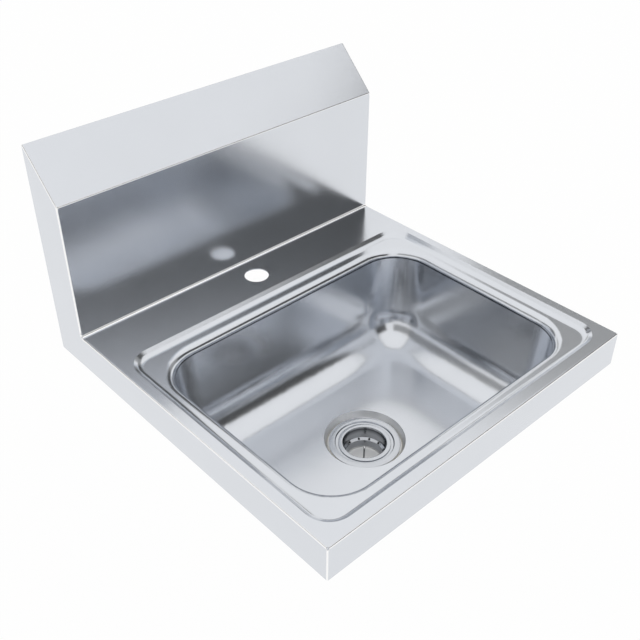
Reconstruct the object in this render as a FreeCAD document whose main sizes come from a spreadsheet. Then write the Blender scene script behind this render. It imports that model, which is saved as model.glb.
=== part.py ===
import FreeCAD
import Part
import Sketcher
import math
import os
import re

# Wall-hung stainless steel hand wash sink, in millimetres. +X is to the right, +Y points into
# the wall and +Z is up. The origin is the centre of the wall bracket's back face, on the wall.

SIZES = {
    # overall
    "width": 431.8,
    "depth": 437.0,
    "sheet": 1.2,
    "fold_radius": 0.8,
    "corner_ease": 0.1,
    "seat_clearance": 0.3,
    # apron, splash and top
    "apron_height": 42.5,
    "hem_width": 15.0,
    "splash_rise": 157.0,
    "splash_depth": 52.0,
    "top_angle": 45.0,
    "splash_fold_radius": 3.0,
    "relief_radius": 1.1,
    # hanging flange and wall bracket
    "hanger_drop": 25.0,
    "bracket_sheet": 1.5,
    "bracket_end_gap": 35.9,
    "bracket_plate": 28.0,
    "bracket_lip": 12.0,
    "bracket_hole_radius": 3.0,
    "bracket_hole_margin": 30.0,
    "bracket_hole_count": 4,
    # rear return flanges of the end panels
    "rear_flange_width": 20.0,
    "rear_flange_gap": 6.0,
    "fixing_hole_radius": 3.0,
    "fixing_hole_inset": 10.0,
    "fixing_hole_height": 20.0,
    # tap hole
    "tap_hole_radius": 14.3,
    "tap_hole_setback": 32.6,
    # pressed recess and rolled lip
    "recess_side_margin": 11.8,
    "recess_front_margin": 13.1,
    "recess_rear_margin": 63.7,
    "recess_corner": 27.0,
    "recess_depth": 6.0,
    "bowl_side_inset": 22.6,
    "bowl_front_inset": 22.6,
    "bowl_rear_inset": 24.9,
    "bowl_corner": 47.5,
    "lip_radius": 9.0,
    "lip_skirt": 0.3,
    # bowl
    "bowl_sheet": 1.2,
    "bowl_depth": 132.6,
    "bowl_overlap": 2.0,
    "bowl_weld_gap": 0.5,
    "bowl_draft": 3.0,
    "bowl_cove": 46.0,
    "drain_seat_taper": 4.3,
    "drain_seat_depth": 8.5,
    # strainer body
    "seal_thickness": 1.5,
    "seal_width": 4.8,
    "flange_gap": 1.0,
    "flange_thickness": 1.8,
    "flange_round": 0.8,
    "dish_gap": 3.9,
    "dish_depth": 2.0,
    "dish_slope": 0.8,
    "body_wall": 1.5,
    "body_floor_gap": 0.9,
    "drain_hole_gap": 1.0,
    "body_cone": 6.0,
    "tail_step": 0.25,
    "tail_wall": 4.0,
    "tail_length": 18.0,
    # parts clamped under the bowl
    "clamp_width": 7.0,
    "gasket_thickness": 3.0,
    "friction_ring_thickness": 1.2,
    "lock_nut_wall": 8.2,
    "lock_nut_height": 10.0,
    "lock_lug_count": 6,
    "lock_lug_width": 10.0,
    "lock_lug_reach": 4.0,
    # tailpiece
    "tube_radius": 19.05,
    "tube_wall": 1.0,
    "tube_length": 100.0,
    "tube_neck_step": 0.3,
    "tube_neck_drop": 1.5,
    "tube_flange_ease": 0.15,
    "tube_flange_thickness": 1.5,
    "washer_thickness": 2.0,
    "coupling_nut_wall": 4.9,
    "coupling_nut_grip": 10.0,
    "coupling_nut_floor": 2.2,
    # lift-out basket
    "basket_sheet": 0.8,
    "basket_bore": 25.3,
    "basket_rim_width": 5.1,
    "basket_gap": 1.7,
    "basket_shoulder_depth": 22.4,
    "basket_shoulder_width": 3.3,
    "basket_shoulder_drop": 2.3,
    "basket_taper": 1.5,
    "basket_depth": 34.7,
    "basket_hole_radius": 1.25,
    "basket_hole_count": 12,
    "post_radius": 1.0,
    "post_knob_radius": 1.7,
    "post_knob_depth": 15.2,
    "stopper_inset": 2.0,
    "stopper_thickness": 3.0,
    "post_washer_radius": 5.0,
    "post_washer_thickness": 0.8,
    "post_nut_flats": 6.0,
    "post_nut_height": 2.5,
    "post_tail": 1.0,
}

# Places worked out from the sizes, as expressions that the bodies are bound to.
TOP_RISE = "(splash_depth * tan(top_angle))"
DECK = "(bracket_plate / 2 + hanger_drop - splash_rise - splash_depth * tan(top_angle))"
SPLASH_TOP = f"({DECK} + splash_rise)"
CREST = f"({SPLASH_TOP} + {TOP_RISE})"
APRON_FOOT = f"({DECK} - apron_height)"
OUTER_FOLD = "(fold_radius + sheet)"
CORNER_ROUND = f"({OUTER_FOLD} - corner_ease)"
SPLASH_MITRE = "(sheet * tan((90 - top_angle) / 2))"
CREST_MITRE = "(sheet * tan((90 + top_angle) / 2))"
SHEET_HALF = "(width / 2 - sheet)"
BRACKET_WIDTH = "(width - 2 * bracket_end_gap)"
BRACKET_SPACING = f"(({BRACKET_WIDTH} - 2 * bracket_hole_margin) / (bracket_hole_count - 1))"
REAR_FLANGE_TOP = "(0 - bracket_plate / 2 - rear_flange_gap)"
SPLASH_CORNER = ("0 - splash_depth", DECK)
SIDE_OUTLINE = [
    ("0 - depth", APRON_FOOT),
    ("0 - depth", DECK),
    SPLASH_CORNER,
    ("0 - splash_depth", SPLASH_TOP),
    ("0", CREST),
    ("0", APRON_FOOT),
]

RING = f"({DECK} - recess_depth)"
LIP_FOOT = f"({RING} - lip_radius - lip_skirt)"
RECESS_HALF = "(width / 2 - recess_side_margin)"
RECESS_FRONT = "(recess_front_margin - depth)"
RECESS_REAR = "(0 - splash_depth - recess_rear_margin)"
OPENING_HALF = f"({RECESS_HALF} - bowl_side_inset)"
OPENING_FRONT = f"({RECESS_FRONT} + bowl_front_inset)"
OPENING_REAR = f"({RECESS_REAR} - bowl_rear_inset)"

BOWL_RIM = f"({LIP_FOOT} + bowl_overlap)"
BOWL_GROW = "(sheet + bowl_weld_gap)"
FLOOR = f"({DECK} - bowl_depth)"
BOWL_CORNER = f"(bowl_corner + {BOWL_GROW})"
COVE = f"min(bowl_cove; {BOWL_CORNER} - 1)"
DRAIN_Y = f"(({OPENING_FRONT} + {OPENING_REAR}) / 2)"

# Radii in the drain, from the basket outwards and then down to the waste tube.
BASKET_RIM = "(basket_bore + basket_rim_width)"
CUP_RADIUS = "(basket_bore - basket_shoulder_width)"
CUP_FLOOR_RADIUS = f"({CUP_RADIUS} - basket_taper)"
STOPPER_RADIUS = f"({CUP_FLOOR_RADIUS} - stopper_inset)"
POST_BORE = "(post_radius + seat_clearance)"
BODY_BORE = "(basket_bore + basket_sheet + basket_gap)"
BODY_RADIUS = f"({BODY_BORE} + body_wall)"
DISH_RADIUS = f"({BASKET_RIM} + dish_gap)"
DISH_WALL = f"({DISH_RADIUS} + body_wall)"
DRAIN_HOLE = f"({DISH_WALL} + drain_hole_gap)"
FLANGE_RADIUS = f"({DRAIN_HOLE} + seal_width)"
SEAT_RADIUS = f"({FLANGE_RADIUS} + flange_gap + drain_seat_taper)"
CLAMP_RADIUS = f"({DRAIN_HOLE} + clamp_width)"
CLAMP_BORE = f"({BODY_RADIUS} + seat_clearance)"
LOCK_NUT_RADIUS = f"({CLAMP_BORE} + lock_nut_wall)"
TAIL_BORE = "(tube_radius - tube_wall - tail_step)"
TAIL_RADIUS = f"({TAIL_BORE} + tail_wall)"
TUBE_NECK = "(tube_radius + tube_neck_step)"
TUBE_FLANGE = f"({TAIL_RADIUS} - tube_flange_ease)"
COUPLING_BORE = f"({TAIL_RADIUS} + seat_clearance)"

# Heights in the drain, counted from the bowl's floor.
LEDGE = "(0 - drain_seat_depth)"
FLANGE_FOOT = f"({LEDGE} + seal_thickness)"
FLANGE_TOP = f"({FLANGE_FOOT} + flange_thickness)"
DISH = f"({FLANGE_TOP} - dish_depth)"
SHOULDER = "(0 - basket_shoulder_depth)"
SHOULDER_FOOT = f"({SHOULDER} - basket_shoulder_drop)"
SHOULDER_PITCH = "(basket_shoulder_drop / basket_shoulder_width)"
SHOULDER_MITRE = f"(basket_sheet * (sqrt(1 + {SHOULDER_PITCH} ^ 2) - {SHOULDER_PITCH}))"
BASKET_RIM_FOOT = f"({DISH} + seat_clearance)"
BASKET_RIM_TOP = f"({BASKET_RIM_FOOT} + basket_sheet)"
BASKET_FLOOR = "(0 - basket_depth)"
BASKET_FOOT = f"({BASKET_FLOOR} - basket_sheet)"
STOPPER_FOOT = f"({BASKET_FOOT} - stopper_thickness)"
POST_WASHER_FOOT = f"({STOPPER_FOOT} - post_washer_thickness)"
POST_NUT_FOOT = f"({POST_WASHER_FOOT} - post_nut_height)"
POST_FOOT = f"({POST_NUT_FOOT} - post_tail)"
BODY_FLOOR = f"({POST_FOOT} - body_floor_gap)"
CONE_FOOT = f"({BODY_FLOOR} - body_cone)"
TAIL_FOOT = f"({CONE_FOOT} - tail_length)"
CLAMP_TOP = f"({LEDGE} - bowl_sheet)"
GASKET_FOOT = f"({CLAMP_TOP} - gasket_thickness)"
FRICTION_FOOT = f"({GASKET_FOOT} - friction_ring_thickness)"
LOCK_NUT_FOOT = f"({FRICTION_FOOT} - lock_nut_height)"
WASHER_FOOT = f"({TAIL_FOOT} - washer_thickness)"
TUBE_FLANGE_FOOT = f"({WASHER_FOOT} - tube_flange_thickness)"
TUBE_FOOT = f"({TUBE_FLANGE_FOOT} - tube_length)"
COUPLING_FOOT = f"({TUBE_FLANGE_FOOT} - seat_clearance - coupling_nut_floor)"
NECK_FOOT = f"({COUPLING_FOOT} - tube_neck_drop)"

doc = FreeCAD.newDocument("hand_wash_sink")
table = doc.addObject("Spreadsheet::Sheet", "Sizes")
for line, (alias, number) in enumerate(SIZES.items(), start=1):
    table.set(f"A{line}", alias)
    table.set(f"B{line}", str(number))
    table.setAlias(f"B{line}", alias)
doc.recompute()

bodies = []


def bound(text):
    """The expression with each size's name turned into its cell in the sheet."""
    return re.sub(r"[a-z_]+", lambda word: "Sizes." + word[0] if word[0] in SIZES else word[0], text)


def amount(text):
    """The expression's value now, in millimetres or degrees."""
    return float(table.evalExpression(bound(text)))


def new_body(label, finished=True):
    """An empty body. A finished one is a sub-part as it is, and the others are cut later."""
    body = doc.addObject("PartDesign::Body", label)
    body.Label = label
    body.Placement = FreeCAD.Placement()
    if finished:
        bodies.append(body)
    return body


def drain_body(label):
    """A body whose own Z axis is the drain's axis, with its zero at the bowl's floor."""
    body = new_body(label)
    body.setExpression("Placement.Base.y", bound(DRAIN_Y))
    body.setExpression("Placement.Base.z", bound(FLOOR))
    return body


def origin_part(body, role):
    return [feature for feature in body.Origin.OriginFeatures if feature.Role == role][0]


def new_sketch(body, name, plane, height="0"):
    """An empty sketch on one of the body's own planes, raised by height along its normal."""
    sketch = body.newObject("Sketcher::SketchObject", name)
    sketch.AttachmentSupport = (origin_part(body, plane + "_Plane"), [""])
    sketch.MapMode = "FlatFace"
    sketch.setExpression("AttachmentOffset.Base.z", bound(height))
    return sketch


def pin_point(sketch, shape, point, across, up):
    """Holds one point of a sketch at a place given by two expressions."""
    for kind, text in (("DistanceX", across), ("DistanceY", up)):
        number = sketch.addConstraint(Sketcher.Constraint(kind, -1, 1, shape, point, amount(text)))
        sketch.setExpression(f"Constraints[{number}]", bound(text))


def outline(sketch, corners):
    """A closed outline of straight lines through corners given as pairs of expressions."""
    places = [FreeCAD.Vector(amount(across), amount(up), 0) for across, up in corners]
    for start, end in zip(places, places[1:] + places[:1]):
        sketch.addGeometry(Part.LineSegment(start, end), False)
    for number, (across, up) in enumerate(corners):
        before = (number - 1) % len(corners)
        sketch.addConstraint(Sketcher.Constraint("Coincident", before, 2, number, 1))
        pin_point(sketch, number, 1, across, up)


def circle(sketch, across, up, radius):
    centre = FreeCAD.Vector(amount(across), amount(up), 0)
    shape = sketch.addGeometry(Part.Circle(centre, FreeCAD.Vector(0, 0, 1), amount(radius)), False)
    pin_point(sketch, shape, 3, across, up)
    number = sketch.addConstraint(Sketcher.Constraint("Radius", shape, amount(radius)))
    sketch.setExpression(f"Constraints[{number}]", bound(radius))


def rounded_rectangle(sketch, half, front, rear, corner):
    """A rectangle from -half to half and from front to rear, with tangent corner arcs."""
    left, right, radius = amount(f"0 - {half}"), amount(half), amount(corner)
    low, high = amount(front), amount(rear)
    right_angle = math.pi / 2
    corners = (
        (right, high, f"{half} - {corner}", f"{rear} - {corner}"),
        (left, high, f"{corner} - {half}", f"{rear} - {corner}"),
        (left, low, f"{corner} - {half}", f"{front} + {corner}"),
        (right, low, f"{half} - {corner}", f"{front} + {corner}"),
    )
    for quarter, (_, _, across, up) in enumerate(corners):
        centre = FreeCAD.Vector(amount(across), amount(up), 0)
        ring = Part.Circle(centre, FreeCAD.Vector(0, 0, 1), radius)
        begin = quarter * right_angle
        arc = sketch.addGeometry(Part.ArcOfCircle(ring, begin, begin + right_angle), False)
        pin_point(sketch, arc, 3, across, up)
        number = sketch.addConstraint(Sketcher.Constraint("Radius", arc, radius))
        sketch.setExpression(f"Constraints[{number}]", bound(corner))
    for arc in range(len(corners)):
        following = (arc + 1) % len(corners)
        start = sketch.Geometry[arc].EndPoint
        end = sketch.Geometry[following].StartPoint
        side = sketch.addGeometry(Part.LineSegment(start, end), False)
        sketch.addConstraint(Sketcher.Constraint("Tangent", side, 1, arc, 2))
        sketch.addConstraint(Sketcher.Constraint("Tangent", side, 2, following, 1))


def feature(body, kind, name, sketch, down=False):
    made = body.newObject("PartDesign::" + kind, name)
    made.Profile = sketch
    made.Reversed = down
    sketch.Visibility = False
    return made


def pad(body, name, sketch, length, down=False, taper="0", middle=False):
    made = feature(body, "Pad", name, sketch, down)
    made.Midplane = middle
    made.setExpression("Length", bound(length))
    made.setExpression("TaperAngle", bound(taper))
    doc.recompute()
    return made


def pocket(body, name, sketch, length, up=False, taper="0"):
    """Cuts away from the sketch, downwards unless up is set, and makes sure that it did."""
    volume = body.Shape.Volume
    made = feature(body, "Pocket", name, sketch, up)
    made.setExpression("Length", bound(length))
    made.setExpression("TaperAngle", bound(taper))
    doc.recompute()
    if not body.Shape.Volume < volume:
        raise RuntimeError(f"{name} cuts nothing from {body.Label}")
    return made


def turn(body, name, corners, cut=False):
    """Revolves an outline of (radius, height) corners about the body's own Z axis."""
    sketch = new_sketch(body, name + "_profile", "XZ")
    outline(sketch, corners)
    made = feature(body, "Groove" if cut else "Revolution", name, sketch)
    made.ReferenceAxis = (sketch, ["V_Axis"])
    made.Angle = 360
    doc.recompute()
    return made


def fillet(body, name, edges, radius):
    if not edges:
        raise RuntimeError(f"{name} finds no edges on {body.Label}")
    base = body.Tip
    made = body.newObject("PartDesign::Fillet", name)
    made.Base = (base, edges)
    made.setExpression("Radius", bound(radius))
    doc.recompute()
    return made


def find_edges(body, test):
    shape = body.Tip.Shape
    return [f"Edge{number}" for number, edge in enumerate(shape.Edges, start=1) if test(edge.BoundBox)]


def near(first, second):
    return abs(first - second) < 0.01


def folds_at(body, places):
    """The edges that run along X through the given (y, z) places."""
    spots = [(amount(across), amount(up)) for across, up in places]

    def test(box):
        flat = near(box.YMin, box.YMax) and near(box.ZMin, box.ZMax) and not near(box.XMin, box.XMax)
        return flat and any(near(box.YMin, y) and near(box.ZMin, z) for y, z in spots)

    return find_edges(body, test)


def loop_at(body, height, half):
    """The edges of a level loop at height that stays within half of the middle plane."""
    level, reach = amount(height), amount(half) + 0.01

    def test(box):
        return near(box.ZMin, level) and near(box.ZMax, level) and -reach < box.XMin and box.XMax < reach

    return find_edges(body, test)


def rings_at(body, height, radius):
    """The round edges of that radius and height on a turned body."""
    level, size = amount(height), amount(radius)

    def test(box):
        return near(box.ZMin, level) and near(box.ZMax, level) and near(box.XMax, size)

    return find_edges(body, test)


def round_pattern(body, name, made, count):
    """Repeats a feature evenly about the body's own Z axis."""
    pattern = body.newObject("PartDesign::PolarPattern", name)
    pattern.Originals = [made]
    pattern.Axis = (origin_part(body, "Z_Axis"), [""])
    pattern.Angle = 360
    pattern.setExpression("Occurrences", bound(count))
    body.Tip = pattern
    doc.recompute()
    return pattern


def mirrored(body, name, made):
    """Repeats a feature on the other side of the middle plane."""
    mirror = body.newObject("PartDesign::Mirrored", name)
    mirror.Originals = [made]
    mirror.MirrorPlane = (origin_part(body, "YZ_Plane"), [""])
    body.Tip = mirror
    doc.recompute()
    return mirror


def polygon(sketch, sides, flats):
    """A regular polygon about the origin, measured across its flats."""
    corners = []
    for number in range(sides):
        angle = 360 * (number + 0.5) / sides
        reach = f"{flats} / 2 / cos({180 / sides})"
        corners.append((f"{reach} * cos({angle})", f"{reach} * sin({angle})"))
    outline(sketch, corners)


# Deck, splash and top: one folded sheet, drawn as its cross-section seen from the side.
deck_blank = new_body("deck_splash_blank", finished=False)
section = new_sketch(deck_blank, "deck_section", "YZ")
outline(section, [
    ("hem_width - depth", APRON_FOOT),
    ("0 - depth", APRON_FOOT),
    ("0 - depth", DECK),
    ("0 - splash_depth", DECK),
    ("0 - splash_depth", SPLASH_TOP),
    ("0", CREST),
    ("0", f"{CREST} - hanger_drop"),
    ("0 - sheet", f"{CREST} - hanger_drop"),
    ("0 - sheet", f"{CREST} - {CREST_MITRE}"),
    ("sheet - splash_depth", f"{SPLASH_TOP} - {SPLASH_MITRE}"),
    ("sheet - splash_depth", f"{DECK} - sheet"),
    ("sheet - depth", f"{DECK} - sheet"),
    ("sheet - depth", f"{APRON_FOOT} + sheet"),
    ("hem_width - depth", f"{APRON_FOOT} + sheet"),
])
pad(deck_blank, "folded_sheet", section, f"2 * {SHEET_HALF}", middle=True)
fillet(deck_blank, "outer_folds", folds_at(deck_blank, [
    ("0 - depth", APRON_FOOT),
    ("0 - depth", DECK),
    ("0 - splash_depth", SPLASH_TOP),
    ("0", CREST),
]), OUTER_FOLD)
fillet(deck_blank, "inner_folds", folds_at(deck_blank, [
    ("sheet - depth", f"{APRON_FOOT} + sheet"),
    ("sheet - depth", f"{DECK} - sheet"),
    ("sheet - splash_depth", f"{SPLASH_TOP} - {SPLASH_MITRE}"),
    ("0 - sheet", f"{CREST} - {CREST_MITRE}"),
]), "fold_radius")
fillet(deck_blank, "splash_fold", folds_at(deck_blank, [("0 - splash_depth", DECK)]), "splash_fold_radius")
fillet(deck_blank, "splash_fold_back", folds_at(deck_blank, [("sheet - splash_depth", f"{DECK} - sheet")]),
       "splash_fold_radius + sheet")

# The recess is pressed 45 degrees down round a flat ring, and the ring rolls down into the bowl.
pan = new_sketch(deck_blank, "recess_underside", "XY", DECK)
SPREAD = "(sheet * sqrt(2))"
rounded_rectangle(pan, f"({RECESS_HALF} + {SPREAD})", f"({RECESS_FRONT} - {SPREAD})",
                  f"({RECESS_REAR} + {SPREAD})", f"(recess_corner + {SPREAD})")
pad(deck_blank, "recess_pan", pan, "recess_depth + sheet", down=True, taper="-45")
skirt = new_sketch(deck_blank, "lip_outside", "XY", RING)
rounded_rectangle(skirt, f"({OPENING_HALF} + sheet)", f"({OPENING_FRONT} - sheet)",
                  f"({OPENING_REAR} + sheet)", "(bowl_corner + sheet)")
pad(deck_blank, "lip_skirt", skirt, "lip_radius + lip_skirt", down=True)
fillet(deck_blank, "lip_underside", loop_at(deck_blank, f"{RING} - sheet", f"{OPENING_HALF} + 2 * sheet"),
       "lip_radius - sheet")
hollow = new_sketch(deck_blank, "recess_top", "XY", DECK)
rounded_rectangle(hollow, RECESS_HALF, RECESS_FRONT, RECESS_REAR, "recess_corner")
pocket(deck_blank, "recess", hollow, "recess_depth", taper="-45")
opening = new_sketch(deck_blank, "opening_edge", "XY", RING)
rounded_rectangle(opening, OPENING_HALF, OPENING_FRONT, OPENING_REAR, "bowl_corner")
pocket(deck_blank, "bowl_opening", opening, "2 * (lip_radius + lip_skirt)")
fillet(deck_blank, "rolled_lip", loop_at(deck_blank, RING, f"{OPENING_HALF} + sheet"), "lip_radius")
tap = new_sketch(deck_blank, "tap_circle", "XY", DECK)
circle(tap, "0", "0 - splash_depth - tap_hole_setback", "tap_hole_radius")
pocket(deck_blank, "tap_hole", tap, "2 * sheet")


def end_panel(label, side):
    """The L-shaped end sheet: side is 1 on the right and -1 on the left."""
    body = new_body(label + "_blank", finished=False)
    inner, flipped = (SHEET_HALF, False) if side > 0 else (f"(0 - {SHEET_HALF})", True)
    face = new_sketch(body, label + "_face", "YZ", inner)
    outline(face, SIDE_OUTLINE)
    pad(body, label + "_plate", face, "sheet", down=flipped)
    hem = new_sketch(body, label + "_hem_section", "YZ", inner)
    hem_front = "(hem_width + seat_clearance - depth)"
    outline(hem, [
        (hem_front, APRON_FOOT),
        ("0", APRON_FOOT),
        ("0", f"{APRON_FOOT} + sheet"),
        (hem_front, f"{APRON_FOOT} + sheet"),
    ])
    pad(body, label + "_hem", hem, "hem_width - sheet", down=not flipped)
    flange = new_sketch(body, label + "_flange_section", "YZ", inner)
    outline(flange, [
        ("0 - sheet", APRON_FOOT),
        ("0", APRON_FOOT),
        ("0", REAR_FLANGE_TOP),
        ("0 - sheet", REAR_FLANGE_TOP),
    ])
    pad(body, label + "_flange", flange, "rear_flange_width - sheet", down=not flipped)
    hole = new_sketch(body, label + "_hole_circle", "XZ")
    circle(hole, f"{side} * (width / 2 - fixing_hole_inset)", f"{APRON_FOOT} + fixing_hole_height",
           "fixing_hole_radius")
    pocket(body, label + "_fixing_hole", hole, "2 * sheet", up=True)
    return body


left_blank = end_panel("left_end_panel", -1)
right_blank = end_panel("right_end_panel", 1)

# The welded corners are ground round on the outside, all over the joined sheets. The outline
# here is the whole outside form, and each sheet keeps what lies in it.
outside_form = new_body("outside_form", finished=False)
silhouette = new_sketch(outside_form, "side_outline", "YZ")
outline(silhouette, SIDE_OUTLINE)
pad(outside_form, "outside_block", silhouette, "width", middle=True)
convex = [corner for corner in SIDE_OUTLINE if corner != SPLASH_CORNER]
fillet(outside_form, "outside_folds", folds_at(outside_form, convex), OUTER_FOLD)
fillet(outside_form, "outside_splash_fold", folds_at(outside_form, [SPLASH_CORNER]), "splash_fold_radius")
end_place = amount("width / 2")
fillet(outside_form, "ground_corners", find_edges(outside_form, lambda box: near(box.XMin, box.XMax)
       and near(abs(box.XMin), end_place)), CORNER_ROUND)
front_relief = new_sketch(outside_form, "front_relief_circles", "XY", DECK)
splash_relief = new_sketch(outside_form, "splash_relief_circle", "YZ", "width / 2")
for side in (-1, 1):
    circle(front_relief, f"{side} * (width / 2 - relief_radius)", "relief_radius - depth", "relief_radius")
circle(splash_relief, "0 - splash_depth", f"{DECK} + splash_fold_radius + relief_radius", "relief_radius")
pocket(outside_form, "front_reliefs", front_relief, "2 * sheet")
right_relief = pocket(outside_form, "splash_relief", splash_relief, "2 * sheet")
mirrored(outside_form, "splash_reliefs", right_relief)
for label, blank in (
    ("deck_splash", deck_blank),
    ("left_end_panel", left_blank),
    ("right_end_panel", right_blank),
):
    ground = doc.addObject("Part::Common", label)
    ground.Label = label
    ground.Base = blank
    ground.Tool = outside_form
    bodies.append(ground)

# The bowl is drawn from its own sheet: drafted walls, a wide cove and a pressed seat for the drain.
bowl = new_body("bowl")
GROWN = f"({BOWL_GROW} + bowl_sheet)"
BOWL_FOOT = f"({FLOOR} - bowl_sheet)"


def bowl_plan(name, growth):
    """A plain rectangle at the bowl's rim, wider than the opening by growth on each side."""
    sketch = new_sketch(bowl, name, "XY", BOWL_RIM)
    half = f"({OPENING_HALF} + {growth})"
    front = f"({OPENING_FRONT} - {growth})"
    rear = f"({OPENING_REAR} + {growth})"
    outline(sketch, [(f"0 - {half}", front), (half, front), (half, rear), (f"0 - {half}", rear)])
    return sketch


def wall_corners(foot):
    """The four slanted corner edges of the bowl's walls that end at the height foot."""
    low, high = amount(foot), amount(BOWL_RIM)
    return find_edges(bowl, lambda box: near(box.ZMin, low) and near(box.ZMax, high)
                      and not near(box.XMin, box.XMax))


pad(bowl, "bowl_block", bowl_plan("bowl_outside", GROWN), f"{BOWL_RIM} - {BOWL_FOOT}", down=True,
    taper="0 - bowl_draft")
pocket(bowl, "bowl_hollow", bowl_plan("bowl_inside", BOWL_GROW), f"{BOWL_RIM} - {FLOOR}",
       taper="0 - bowl_draft")
fillet(bowl, "bowl_corners", wall_corners(FLOOR), BOWL_CORNER)
fillet(bowl, "bowl_cove", loop_at(bowl, FLOOR, OPENING_HALF), COVE)
fillet(bowl, "bowl_outer_corners", wall_corners(BOWL_FOOT), f"{BOWL_CORNER} + bowl_sheet")
fillet(bowl, "bowl_outer_cove", loop_at(bowl, BOWL_FOOT, f"{OPENING_HALF} + {GROWN}"), f"{COVE} + bowl_sheet")

bowl_axis = new_sketch(bowl, "seat_outside", "XY", FLOOR)
circle(bowl_axis, "0", DRAIN_Y, f"{SEAT_RADIUS} + bowl_sheet")
SEAT_TAPER = "(-1 * atan(drain_seat_taper / drain_seat_depth))"
pad(bowl, "seat_block", bowl_axis, "drain_seat_depth + bowl_sheet", down=True, taper=SEAT_TAPER)
seat = new_sketch(bowl, "seat_circle", "XY", FLOOR)
circle(seat, "0", DRAIN_Y, SEAT_RADIUS)
pocket(bowl, "drain_seat", seat, "drain_seat_depth", taper=SEAT_TAPER)
drain = new_sketch(bowl, "drain_circle", "XY", FLOOR)
circle(drain, "0", DRAIN_Y, DRAIN_HOLE)
pocket(bowl, "drain_hole", drain, "2 * (drain_seat_depth + bowl_sheet)")

# The strainer body: a flange that sits in the bowl's seat, dished for the basket's rim, over a
# threaded cup that ends in a coned floor and a threaded tail.
strainer_body = drain_body("strainer_body")
turn(strainer_body, "strainer_shell", [
    (FLANGE_RADIUS, FLANGE_TOP),
    (DISH_RADIUS, FLANGE_TOP),
    (f"{DISH_RADIUS} - dish_slope", DISH),
    (BODY_BORE, DISH),
    (BODY_BORE, BODY_FLOOR),
    (TAIL_BORE, CONE_FOOT),
    (TAIL_BORE, TAIL_FOOT),
    (TAIL_RADIUS, TAIL_FOOT),
    (TAIL_RADIUS, f"{CONE_FOOT} - body_wall"),
    (BODY_RADIUS, f"{BODY_FLOOR} - body_wall"),
    (BODY_RADIUS, f"{DISH} - body_wall"),
    (DISH_WALL, f"{DISH} - body_wall"),
    (DISH_WALL, FLANGE_FOOT),
    (FLANGE_RADIUS, FLANGE_FOOT),
])
fillet(strainer_body, "flange_edge", rings_at(strainer_body, FLANGE_TOP, FLANGE_RADIUS), "flange_round")


def washer(label, bore, radius, foot, top):
    """A plain ring round the drain's axis."""
    body = drain_body(label)
    turn(body, label + "_ring", [(bore, foot), (radius, foot), (radius, top), (bore, top)])
    return body


# Sealing and clamping rings, from the bowl's seat down to the lock nut.
washer("flange_seal_ring", DRAIN_HOLE, FLANGE_RADIUS, LEDGE, FLANGE_FOOT)
washer("rubber_gasket", CLAMP_BORE, CLAMP_RADIUS, GASKET_FOOT, CLAMP_TOP)
washer("friction_ring", CLAMP_BORE, CLAMP_RADIUS, FRICTION_FOOT, GASKET_FOOT)
lock_nut = washer("lock_nut", CLAMP_BORE, LOCK_NUT_RADIUS, LOCK_NUT_FOOT, FRICTION_FOOT)
lug = new_sketch(lock_nut, "lug_outline", "XY", LOCK_NUT_FOOT)
LUG_ROOT = f"({LOCK_NUT_RADIUS} - lock_lug_reach)"
LUG_TIP = f"({LOCK_NUT_RADIUS} + lock_lug_reach)"
outline(lug, [
    (LUG_ROOT, "0 - lock_lug_width / 2"),
    (LUG_TIP, "0 - lock_lug_width / 2"),
    (LUG_TIP, "lock_lug_width / 2"),
    (LUG_ROOT, "lock_lug_width / 2"),
])
lug_pad = pad(lock_nut, "lock_lug", lug, "lock_nut_height")
round_pattern(lock_nut, "lock_lugs", lug_pad, "lock_lug_count")

# The flanged waste tube hangs from the tail by its coupling nut, with a washer between.
washer("tailpiece_washer", TAIL_BORE, TAIL_RADIUS, WASHER_FOOT, TAIL_FOOT)
tailpiece = drain_body("tailpiece")
turn(tailpiece, "waste_tube", [
    ("tube_radius - tube_wall", WASHER_FOOT),
    (TUBE_FLANGE, WASHER_FOOT),
    (TUBE_FLANGE, TUBE_FLANGE_FOOT),
    (TUBE_NECK, TUBE_FLANGE_FOOT),
    (TUBE_NECK, NECK_FOOT),
    ("tube_radius", NECK_FOOT),
    ("tube_radius", TUBE_FOOT),
    ("tube_radius - tube_wall", TUBE_FOOT),
])
coupling_nut = drain_body("coupling_nut")
hexagon = new_sketch(coupling_nut, "nut_flats", "XY", COUPLING_FOOT)
polygon(hexagon, 6, f"2 * ({COUPLING_BORE} + coupling_nut_wall)")
pad(coupling_nut, "nut_block", hexagon, f"{TAIL_FOOT} + coupling_nut_grip - {COUPLING_FOOT}")
NUT_LEDGE = f"({COUPLING_FOOT} + coupling_nut_floor)"
NUT_TOP = f"({TAIL_FOOT} + coupling_nut_grip)"
turn(coupling_nut, "nut_bore", [
    ("0", COUPLING_FOOT),
    (f"{TUBE_NECK} + seat_clearance", COUPLING_FOOT),
    (f"{TUBE_NECK} + seat_clearance", NUT_LEDGE),
    (COUPLING_BORE, NUT_LEDGE),
    (COUPLING_BORE, NUT_TOP),
    ("0", NUT_TOP),
], cut=True)

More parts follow.
